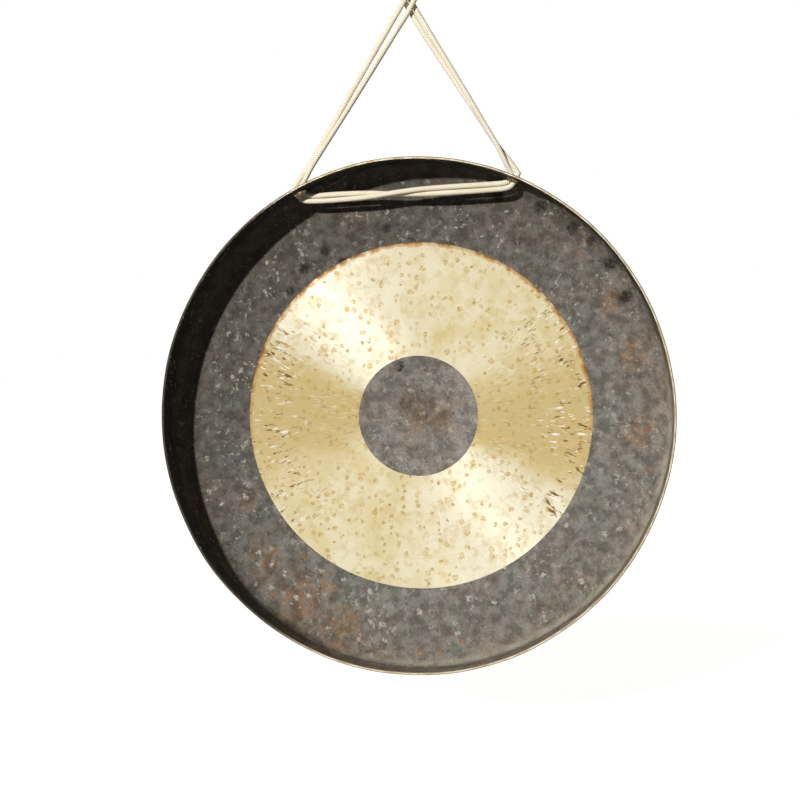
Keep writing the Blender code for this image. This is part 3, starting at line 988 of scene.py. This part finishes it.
# Painted highlight: a pale strip on the lower-right shoulder, also partly metallic, so that it gleams a
# little.
painted_and_metal_sheen = patches(oxide, place, *SHEEN_STRIP_PATCHES, rough=0.7)
side = add(oxide, "VectorMath", {0: flat, 1: SHEEN_STRIP_SIDE}, "Value", operation="DOT_PRODUCT")
near, full, still, far = SHEEN_STRIP_DEPTHS
for value, start, end in ((side, *SHEEN_STRIP_REACH), (depth, near, full), (depth, far, still)):
    painted_and_metal_sheen = faded(oxide, painted_and_metal_sheen, value, start, end, **EASED)
for amount, tone in ((painted_shadow, OXIDE_PAINTED_SHADOW), (painted_and_metal_sheen, OXIDE_PAINTED_HIGHLIGHT)):
    colour = add(oxide, "Mix", {0: amount, 6: colour, 7: tone}, **PAINT)
sheen_metal = add(oxide, "Math", {0: painted_and_metal_sheen, 1: SHEEN_STRIP_METAL}, **TIMES)
print("the rubbed strip is", round((near - far) * 1000), "mm deep")

# %% Oxide: flecks and pits
# A push is the size in mm, the reach in m and the detail of the noise that moves the cells.
FLECKS = (6, 0.57, 0.66)
FLECK_CROWDS = (40, 0.42, 0.60, 0.06, 0.60)
SPOT_MM = 15
SPOT_PUSH = (5, 0.012, 4)
SPOT_EDGE = (0.26, 0.12)
SPOT_ODDS = (0.66, 0.86, 0.0, 0.95)
SPOT_HEIGHTS = (0.10, -0.12, 0.25)
SPOT_END = (FLAT_RADIUS + 0.014, FLAT_RADIUS + 0.004)
CHIPS = (3.5, 0.38, 0.56, 0.25, 1.0)
PITS = (4.2, 0.62, 0.70, 0.0, 0.6)

flecks = patches(oxide, place, *FLECKS, detail=3, rough=0.65)
crowds = patches(oxide, place, *FLECK_CROWDS, detail=2)
flecks = add(oxide, "Math", {0: flecks, 1: crowds}, **TIMES)
gap, chance = strewn_cells(oxide, place, flat, SPOT_MM, *SPOT_PUSH)
spot = patches(oxide, place, *CHIPS, rough=0.7)
spot = faded(oxide, spot, gap, *SPOT_EDGE, **EASED)
for value, ends in ((chance[0], SPOT_ODDS), (height, SPOT_HEIGHTS), (reach, SPOT_END)):
    spot = faded(oxide, spot, value, *ends)
pits = patches(oxide, place, *PITS, detail=3)
for amount, tone in ((flecks, OXIDE_PALE), (spot, OXIDE_PALE), (pits, OXIDE_DARK)):
    colour = add(oxide, "Mix", {0: amount, 6: colour, 7: tone}, **PAINT)
print("flecks of", FLECKS[0], "mm and spots", SPOT_MM, "mm apart")

# %% Oxide: dark scale and bare copper
# Given as (x, z, radius) in mm from the gong's centre, from the hollow side. The last two marks of
# scale are smudges on the disc.
DARK_SCALE = (
    (107, 256, 10), (156, 240, 11), (192, 212, 11), (212, 196, 8), (234, 168, 11), (250, 130, 12),
    (-132, 184, 10), (-104, 204, 9), (-84, 190, 7), (-188, 72, 8), (-150, 158, 8), (-28, 226, 8),
    (-18, 62, 7), (-20, 57, 5),
)
SCALE_MOTTLE = (5, 0.35, 0.55, 0.35, 0.9)
COPPER_SPOTS = (
    (-84, -240, 6), (-86, -258, 5), (-110, -255, 6), (-99, -269, 4), (-8, -284, 6), (45, -272, 7),
    (16, -283, 5), (-188, -211, 5), (-147, -166, 6), (268, -26, 6), (270, -72, 6), (200, 182, 4),
)
COPPER_MOTTLE = (3.2, 0.48, 0.60)

for marks, mottle, tone in (
    (DARK_SCALE, SCALE_MOTTLE, OXIDE_DARK),
    (COPPER_SPOTS, COPPER_MOTTLE, BARE_COPPER),
):
    ragged = patches(oxide, place, *mottle, rough=0.7)
    mark = add(oxide, "Math", {0: round_marks(oxide, flat, marks), 1: ragged}, **TIMES)
    colour = add(oxide, "Mix", {0: mark, 6: colour, 7: tone}, **PAINT)
print(len(DARK_SCALE), "marks of scale and", len(COPPER_SPOTS), "copper spots")

# %% Oxide: surface
OXIDE_GLOSS = (18, 0.3, 0.7, 0.46, 0.62)
PITTED_MM = 4.5
BEATEN_MM = 17

gloss = patches(oxide, place, *OXIDE_GLOSS)
values = {"Vector": place, "Scale": per(PITTED_MM), "Detail": 6, "Roughness": 0.65}
pitted = add(oxide, "TexNoise", values)
bump = add(oxide, "Bump", {"Height": pitted, "Distance": 0.0010, "Strength": 0.30})
beaten = add(oxide, "TexNoise", {"Vector": place, "Scale": per(BEATEN_MM), "Detail": 3})
bump = add(oxide, "Bump", {"Height": beaten, "Distance": 0.0035, "Strength": 0.50, "Normal": bump})
fill_in(oxide, shader, {"Base Color": colour, "Roughness": gloss, "Normal": bump})
fill_in(oxide, shader, {"Specular IOR Level": 0.05, "Metallic": sheen_metal})
print("oxide:", len(oxide.node_tree.nodes), "nodes")

# %% [markdown]
# ## Lathe-turned bronze
#
# Between two radii the oxide is cut away on a lathe, and the bronze shows, a pale champagne gold. The
# cutter's fine rings stretch every reflection across them, along the radius, so the ring shows two
# bright fans that meet at the centre. In the shader that is anisotropy: the tangent follows the
# tool's way round the gong, and a quarter turn of the anisotropy lays the stretch across
# the rings. The colour holds painted reflection too: painted shade makes two opposite sectors a
# deeper gold, and a painted highlight pales the bronze along the bright fans. The surface is peened
# afterwards with a small round tool, and each blow leaves a ring-shaped mark that has browned. Along
# the top the edge of the cut has an orange heat tint.

# %% Turned bronze colours
BRONZE_PALE = rgb("#ece1c0")
BRONZE_CREAM = rgb("#e1d1a2")
BRONZE_GOLD_STAIN_AND_SHADE = rgb("#d2ba7e")
BRONZE_PAINTED_HIGHLIGHT = rgb("#f5edd5")
PEEN_TAN = rgb("#d6b66c")
PEEN_BROWN = rgb("#b58c45")
DASH_PAINTED_DARK_STREAK = rgb("#82602f")
DASH_PAINTED_GLINT = rgb("#fbf6e6")
EDGE_ORANGE = rgb("#c2904d")
EDGE_BROWN = rgb("#8c5a2c")

turned, shader = finish("lathe_turned_bronze")
place = gong_axes(turned)
flat, reach = over_the_plate(turned, place)
across, _, up = add(turned, "SeparateXYZ", {0: flat}).node.outputs
print("bronze starts from", [round(part, 3) for part in BRONZE_PALE[:3]])

# %% Turned bronze: the metal's own tones, painted shade and a painted highlight
# The gold sectors of painted shade and the white fan of painted highlight lie between two slopes,
# height over width or width over height, and the wave makes their sides uneven.
BRONZE_CLOUDS = (38, 0.35, 0.65)
BRONZE_STAINS = (11, 0.47, 0.66, 0.0, 0.48)
WAVE_MM = 24
WAVE_SHARE = 0.5
SHADE_SECTOR_SLOPE = (1.05, 0.28)
SHADE_SECTOR_END = (-0.46, -0.06)
SHADE_SECTOR_SHARE = 0.9
HIGHLIGHT_FAN_START = (-1.90, -1.00)
HIGHLIGHT_FAN_END = (0.60, -0.30)
HIGHLIGHT_FAN_SHARE = 0.8

wave = add(turned, "TexNoise", {"Vector": place, "Scale": per(WAVE_MM), "Detail": 5, "Roughness": 0.6})
slopes = []
for part, whole in ((up, across), (across, up)):
    slope = add(turned, "Math", {0: part, 1: whole}, operation="DIVIDE")
    slopes.append(add(turned, "Math", {0: wave, 1: WAVE_SHARE, 2: slope}, operation="MULTIPLY_ADD"))
slope, lean = slopes
# Painted shade: two opposite sectors near the horizontal are a deeper gold, as the darker parts of the
# reflection.
painted_shade_sectors = faded(turned, SHADE_SECTOR_SHARE, slope, *SHADE_SECTOR_SLOPE, **EASED)
painted_shade_sectors = faded(turned, painted_shade_sectors, slope, *SHADE_SECTOR_END, **EASED)
# Painted highlight: the bronze is paler along the diagonal where the bright fans lie.
painted_highlight_fan = faded(turned, HIGHLIGHT_FAN_SHARE, lean, *HIGHLIGHT_FAN_START, **EASED)
painted_highlight_fan = faded(turned, painted_highlight_fan, lean, *HIGHLIGHT_FAN_END, **EASED)
cloudy = patches(turned, place, *BRONZE_CLOUDS)
stain = patches(turned, place, *BRONZE_STAINS, detail=5)
coats = ((cloudy, BRONZE_CREAM), (painted_shade_sectors, BRONZE_GOLD_STAIN_AND_SHADE), (painted_highlight_fan, BRONZE_PAINTED_HIGHLIGHT), (stain, BRONZE_GOLD_STAIN_AND_SHADE))
colour = BRONZE_PALE
for amount, tone in coats:
    colour = add(turned, "Mix", {0: amount, 6: colour, 7: tone}, **PAINT)
print(len(coats), "coats over the plain bronze")

# %% Turned bronze: ring-shaped peen marks
# Distances here are shares of a cell, and a mark fades from its ring to its middle. The push is
# given as for the oxide's spots.
PEEN_MM = 8.6
PEEN_PUSH = (4, 0.0062, 3)
PEEN_SIZES = (0.68, 1.45)
PEEN_CROWDS = (34, 0.36, 0.62, -0.14, 0.22)
PEEN_ODDS = (0.68, 0.76)
PEEN_OUTER = (0.34, 0.26)
PEEN_INNER = (0.05, 0.18, 0.55)
PEEN_WEAR = (3, 0.36, 0.56, 0.25, 1.0)
PEEN_FAINTEST = 0.55

gap, chance = strewn_cells(turned, place, flat, PEEN_MM, *PEEN_PUSH)
gap = faded(turned, gap, chance[2], 0.0, 1.0, *PEEN_SIZES)
crowd = patches(turned, place, *PEEN_CROWDS, detail=2, rough=0.5)
odds = add(turned, "Math", {0: chance[0], 1: crowd}, operation="ADD")
mark = patches(turned, place, *PEEN_WEAR, detail=2)
for value, ends in ((odds, PEEN_ODDS), (gap, PEEN_OUTER), (gap, PEEN_INNER)):
    mark = faded(turned, mark, value, *ends, **EASED)
tint = faded(turned, mark, chance[1], 0.0, 1.0, PEEN_FAINTEST)
browned = add(turned, "Mix", {0: chance[2], 6: PEEN_TAN, 7: PEEN_BROWN}, **PAINT)
colour = add(turned, "Mix", {0: tint, 6: colour, 7: browned}, **PAINT)
print("peen marks about", PEEN_MM, "mm apart")

# %% Turned bronze: painted glints and dark streaks along the radius
# A dash is noise stretched along the radius. The white dashes are painted glints and the brown ones
# painted dark streaks of reflection. Each kind is given as its width in mm, the noise where it
# starts and is full, and its colour.
DASH_STRETCH = 0.28
DASH_CROWDS = (30, 0.40, 0.58, 0.10, 1.0)
DASH_SLOPE = (1.60, 0.60)
DASH_END = (-0.95, -0.35)
DASH_REACH = (0.13, 0.195, 0.38, 1.6)
DASHES = (
    (5.5, 0.38, 0.29, DASH_PAINTED_GLINT),
    (3.8, 0.57, 0.69, DASH_PAINTED_DARK_STREAK),
    (3.4, 0.385, 0.315, DASH_PAINTED_GLINT),
)

spoke = add(turned, "VectorMath", {0: flat}, operation="NORMALIZE")
spoke = add(turned, "VectorMath", {0: spoke, "Scale": RING_RADIUS}, operation="SCALE")
along = add(turned, "Math", {0: reach, 1: DASH_STRETCH}, **TIMES)
along = add(turned, "CombineXYZ", {1: along})
spoke = add(turned, "VectorMath", {0: spoke, 1: along}, operation="ADD")
crowd = patches(turned, place, *DASH_CROWDS, detail=2)
crowd = faded(turned, crowd, slope, *DASH_SLOPE, **EASED)
crowd = faded(turned, crowd, slope, *DASH_END, **EASED)
crowd = faded(turned, crowd, reach, *DASH_REACH)
for *look, tone in DASHES:
    dash = patches(turned, spoke, *look, detail=2)
    dash = add(turned, "Math", {0: dash, 1: crowd}, **TIMES)
    colour = add(turned, "Mix", {0: dash, 6: colour, 7: tone}, **PAINT)
print(len(DASHES), "kinds of dash")

# %% Turned bronze: tool rings and the tinted edge
# Each tint is given as how far inside the ring's edge it starts and is full, and its colour.
TOOL_RINGS = (0.144, 0.172)
TOOL_RING_HALF_WIDTH = 0.0006
TOOL_RING_HEIGHTS = (0.02, -0.08, 0.0, 0.22)
EDGE_WANDER = (12, 0.3, 0.7, -0.0026, 0.0010)
EDGE_BURNS = (9, 0.34, 0.58, 0.42, 1.0)
EDGE_HEIGHTS = (-0.07, 0.06)
EDGE_TINTS = ((0.0062, 0.0036, EDGE_ORANGE), (0.0030, 0.0010, EDGE_BROWN))
EDGE_SHARE = 0.85

for radius in TOOL_RINGS:
    values = {0: reach, 1: radius, 2: TOOL_RING_HALF_WIDTH}
    line = add(turned, "Math", values, operation="COMPARE")
    line = faded(turned, line, up, *TOOL_RING_HEIGHTS, **EASED)
    colour = add(turned, "Mix", {0: line, 6: colour, 7: PEEN_TAN}, **PAINT)
wander = patches(turned, place, *EDGE_WANDER)
edge = add(turned, "Math", {0: reach, 1: wander}, operation="ADD")
burnt = patches(turned, place, *EDGE_BURNS)
burnt = faded(turned, burnt, up, *EDGE_HEIGHTS, **EASED)
for start, full, tone in EDGE_TINTS:
    ends = (RING_RADIUS - start, RING_RADIUS - full, 0.0, EDGE_SHARE)
    border = faded(turned, burnt, edge, *ends, **EASED)
    colour = add(turned, "Mix", {0: border, 6: colour, 7: tone}, **PAINT)
print(len(TOOL_RINGS), "tool rings and", len(EDGE_TINTS), "tints at the edge")

# %% Turned bronze: surface
RIPPLE_MM = 5.5
GROOVE_MM = 1.6
TURNED_ROUGHNESS = 0.28
MARK_ROUGHER = 0.12

rough = add(turned, "Math", {0: tint, 1: MARK_ROUGHER, 2: TURNED_ROUGHNESS}, operation="MULTIPLY_ADD")
tangent = add(turned, "Tangent", {}, direction_type="UV_MAP", uv_map="turning")
values = {"Vector": spoke, "Scale": per(RIPPLE_MM), "Detail": 4, "Roughness": 0.6}
ripple = add(turned, "TexNoise", values)
bump = add(turned, "Bump", {"Height": ripple, "Distance": 0.0010, "Strength": 0.20})
values = {"W": reach, "Scale": per(GROOVE_MM), "Detail": 3.0}
grooves = add(turned, "TexNoise", values, noise_dimensions="1D")
bump = add(turned, "Bump", {"Height": grooves, "Distance": 0.0002, "Strength": 0.5, "Normal": bump})
values = {"Height": mark, "Distance": 0.0002, "Strength": 0.25, "Normal": bump}
bump = add(turned, "Bump", values, invert=True)
fill_in(turned, shader, {"Base Color": colour, "Roughness": rough, "Normal": bump})
fill_in(turned, shader, {"Metallic": 1.0, "Tangent": tangent})
fill_in(turned, shader, {"Anisotropic": 0.97, "Anisotropic Rotation": 0.25})
print("turned bronze:", len(turned.node_tree.nodes), "nodes")

# %% [markdown]
# ## Ground edges
#
# The lip is ground flat after forging, and the holes are drilled, so bare bronze shows there. It is
# a pale gold, with fine scratches along the lip. On the left side the lip is coloured dark.

# %% Ground bronze material
GROUND_PALE = rgb("#f3e6c4")
GROUND_TAN = rgb("#c8ab79")
GROUND_DARK = rgb("#2e2924")
GROUND_WEAR = (14, 0.35, 0.65)
DARK_LIP = (-0.10, -0.19)
DARK_LIP_SHARE = 0.92
SCRATCH_MM = 1.4

ground, shader = finish("ground_bronze_edge")
place = gong_axes(ground)
worn = patches(ground, place, *GROUND_WEAR)
across = add(ground, "SeparateXYZ", {0: place})
dark_left_lip = faded(ground, DARK_LIP_SHARE, across, *DARK_LIP, **EASED)
colour = GROUND_PALE
for amount, tone in ((worn, GROUND_TAN), (dark_left_lip, GROUND_DARK)):
    colour = add(ground, "Mix", {0: amount, 6: colour, 7: tone}, **PAINT)
scratches = add(ground, "TexNoise", {"Vector": place, "Scale": per(SCRATCH_MM), "Detail": 4})
bump = add(ground, "Bump", {"Height": scratches, "Distance": 0.0002, "Strength": 0.5})
fill_in(ground, shader, {"Base Color": colour, "Metallic": 1.0, "Roughness": 0.38, "Normal": bump})
print("ground bronze:", len(ground.node_tree.nodes), "nodes")

# %% [markdown]
# ## Give each zone its finish
#
# The finishes change at exact radii on both faces, so each face of the mesh gets its material slot
# by its place: the ring between two radii, the lip at the edge, and oxide everywhere else.

# %% Material slots by zone
OXIDE_SLOT, TURNED_SLOT, GROUND_SLOT = range(3)
for material in (oxide, turned, ground):
    gong.data.materials.append(material)
for face in gong.data.polygons:
    reach = np.mean([distance[v] for v in face.vertices])
    if DISC_RADIUS + STEP_WIDTH / 2 < reach < RING_RADIUS - STEP_WIDTH / 2:
        face.material_index = TURNED_SLOT
    elif reach > lip_distance - LIP_CHAMFER / 4:
        face.material_index = GROUND_SLOT
    else:
        face.material_index = OXIDE_SLOT
print("faces in each zone:", np.bincount([face.material_index for face in gong.data.polygons]))

# %% [markdown]
# ## Drill the rim
#
# The two holes are drilled square through the rim. A cylinder is added for each, turned to point at
# the gong's axis, and taken away with a Boolean, which is applied. The fresh faces in
# the holes get the ground bronze.

# %% Holes
HOLE_SIDES = 48
HOLE_DEPTH = 0.030
HOLE_SLACK = 0.0002
SMOOTH_ANGLE = math.radians(32)


def drill(piece, side):
    """Cuts one rim hole, and gives its fresh faces the ground bronze."""
    centre = hole_point(side, outer_radius(HOLE_Y) - RIM_THICKNESS / 2)
    turn = outward(side).to_track_quat("Z", "Y").to_matrix().to_4x4()
    bpy.ops.object.select_all(action="DESELECT")
    bpy.ops.mesh.primitive_cylinder_add(vertices=HOLE_SIDES, radius=HOLE_DIAMETER / 2, depth=HOLE_DEPTH)
    bit = bpy.context.object
    bit.data.transform(Matrix.Translation(centre) @ turn)
    cut = piece.modifiers.new("drill", "BOOLEAN")
    cut.operation = "DIFFERENCE"
    cut.solver = "EXACT"
    cut.object = bit
    bpy.context.view_layer.objects.active = piece
    bpy.ops.object.modifier_apply(modifier=cut.name)
    bpy.data.objects.remove(bit)
    for face in piece.data.polygons:
        off = face.center - centre
        from_axis = (off - outward(side) * off.dot(outward(side))).length
        if from_axis < HOLE_DIAMETER / 2 + HOLE_SLACK and off.length < HOLE_DEPTH / 2:
            face.material_index = GROUND_SLOT


for side in SIDES.values():
    drill(gong, side)
gong.data.transform(gong_place)
bpy.ops.object.select_all(action="DESELECT")
gong.select_set(True)
bpy.context.view_layer.objects.active = gong
bpy.ops.object.shade_smooth_by_angle(angle=SMOOTH_ANGLE)
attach(gong, "gong")
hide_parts("gong")
print(len(gong.data.polygons), "faces in the drilled gong")

# %% [markdown]
# ## Undyed cotton braid
#
# The cord is undyed cotton, creamy white and matt, and a little fuzzy. The braid is real geometry,
# so the material only darkens its grooves, tints the yarns unevenly along the cord, and adds the
# fine thread of each carrier as a bump.

# %% Cotton material
COTTON_LIGHT = rgb("#f5edd9")
COTTON_SHADE = rgb("#d3bf98")
COTTON_STAIN = rgb("#e4d3ae")
THREAD_MM = 0.45
GROOVE_SHADE = (0.1, 0.75)
COTTON_STAINS = (24, 0.45, 0.75, 0.0, 0.5)

cotton, shader = finish("undyed_cotton_braid")
height = add(cotton, "Attribute", {}, "Fac", attribute_name="braid_height")
values = {"Value": height, "From Min": GROOVE_SHADE[0], "From Max": GROOVE_SHADE[1]}
raised = add(cotton, "MapRange", values, **EASED)
colour = add(cotton, "Mix", {0: raised, 6: COTTON_SHADE, 7: COTTON_LIGHT}, **PAINT)
place = add(cotton, "TexCoord", {}, "Object")
stain = patches(cotton, place, *COTTON_STAINS, detail=3)
colour = add(cotton, "Mix", {0: stain, 6: colour, 7: COTTON_STAIN}, **PAINT)
fibre = add(cotton, "TexNoise", {"Vector": place, "Scale": per(THREAD_MM), "Detail": 3})
bump = add(cotton, "Bump", {"Height": fibre, "Distance": 0.0002, "Strength": 0.25})
fill_in(cotton, shader, {"Base Color": colour, "Roughness": 0.92, "Normal": bump})
fill_in(cotton, shader, {"Specular IOR Level": 0.15})
fill_in(cotton, shader, {"Sheen Weight": 0.35, "Sheen Roughness": 0.5})
for piece in cord_pieces:
    piece.data.materials.clear()
    piece.data.materials.append(cotton)
print(len(cord_pieces), "cotton pieces")

# %% [markdown]
# ## Floor, background and light
#
# The object hangs over a plain pale floor in a white room. Light Path tells the background and the
# floor which ray asks: the camera, a reflection or a transmission sees plain white, and the
# light that falls on the object stays low. The floor glows a little less near the object, so that
# the object's shadow shows there, and it melts into the white room further out. A small, distant
# lamp from the upper left is the key: it throws the rim's crescent of shadow over the plate. Its
# gleam on the metal is a second, weak lamp at the same place, which only reflections see,
# because the bare bronze would flare white under the key. A wide lamp behind lights the struck
# side softly.

# %% Stage
FLOOR_Z = -1.02
FLOOR_SIZE = 14.0
FLOOR_COLOUR = rgb("#75736f")
FLOOR_GLOW = (0.92, 1.0)
FLOOR_GLOW_REACH = (0.6, 3.5)
WHITE = (1.0, 1.0, 1.0, 1.0)
FILL_STRENGTH = 0.005

bpy.ops.object.select_all(action="DESELECT")
bpy.ops.mesh.primitive_plane_add(size=FLOOR_SIZE, location=(0, 0, FLOOR_Z))
floor = bpy.context.object
floor.name = "floor"


def white_to_eye(material):
    """1 for a camera, glossy or transmission ray, 0 for light that falls on something."""
    rays = add(material, "LightPath", {}).node.outputs
    seen = {0: rays["Is Camera Ray"], 1: rays["Is Glossy Ray"]}
    seen = {0: add(material, "Math", seen, operation="MAXIMUM"), 1: rays["Is Transmission Ray"]}
    return add(material, "Math", seen, operation="MAXIMUM")


paper, shader = finish("pale_floor")
spot = add(paper, "TexCoord", {}, "Object")
away = add(paper, "VectorMath", {0: spot}, "Value", operation="LENGTH")
glow = faded(paper, white_to_eye(paper), away, *FLOOR_GLOW_REACH, *FLOOR_GLOW, **EASED)
fill_in(paper, shader, {"Base Color": FLOOR_COLOUR, "Roughness": 0.9, "Specular IOR Level": 0.0})
fill_in(paper, shader, {"Emission Color": WHITE, "Emission Strength": glow})
floor.data.materials.append(paper)

world = bpy.data.worlds.new("studio")
bpy.context.scene.world = world
world.use_nodes = True
values = {"Value": white_to_eye(world), "To Min": FILL_STRENGTH, "To Max": 1.0}
sky = {"Color": WHITE, "Strength": add(world, "MapRange", values)}
fill_in(world, world.node_tree.nodes["Background"], sky)
print("floor at", FLOOR_Z, "m, and the background lights with", FILL_STRENGTH)

# %% Lamps
KEY_AZIMUTH = math.radians(-22.2)
KEY_ELEVATION = math.radians(20.4)
KEY_DISTANCE = 4.0
KEY_SIZE = 0.16
KEY_POWER = 177.0
GLEAM_POWER = 7.5
BACK_AZIMUTH = math.radians(160)
BACK_ELEVATION = math.radians(22)
BACK_DISTANCE = 3.0
BACK_SIZE = 2.0
BACK_POWER = 62.0


def lamp(name, azimuth, elevation, distance, size, power):
    """Adds a square lamp that faces the plate's centre."""
    back = direction(azimuth, elevation)
    bpy.ops.object.light_add(type="AREA", location=PLATE_CENTRE + back * distance)
    made = bpy.context.object
    made.name = name
    made.rotation_euler = (-back).to_track_quat("-Z", "Y").to_euler()
    made.data.size = size
    made.data.energy = power
    return made


key = lamp("key", KEY_AZIMUTH, KEY_ELEVATION, KEY_DISTANCE, KEY_SIZE, KEY_POWER)
gleam = lamp("gleam", KEY_AZIMUTH, KEY_ELEVATION, KEY_DISTANCE, KEY_SIZE, GLEAM_POWER)
key.visible_glossy = False
gleam.visible_diffuse = False
lamp("back_fill", BACK_AZIMUTH, BACK_ELEVATION, BACK_DISTANCE, BACK_SIZE, BACK_POWER)
bpy.context.scene.view_settings.view_transform = "Standard"
print("key lamp at", [round(x, 2) for x in key.location])
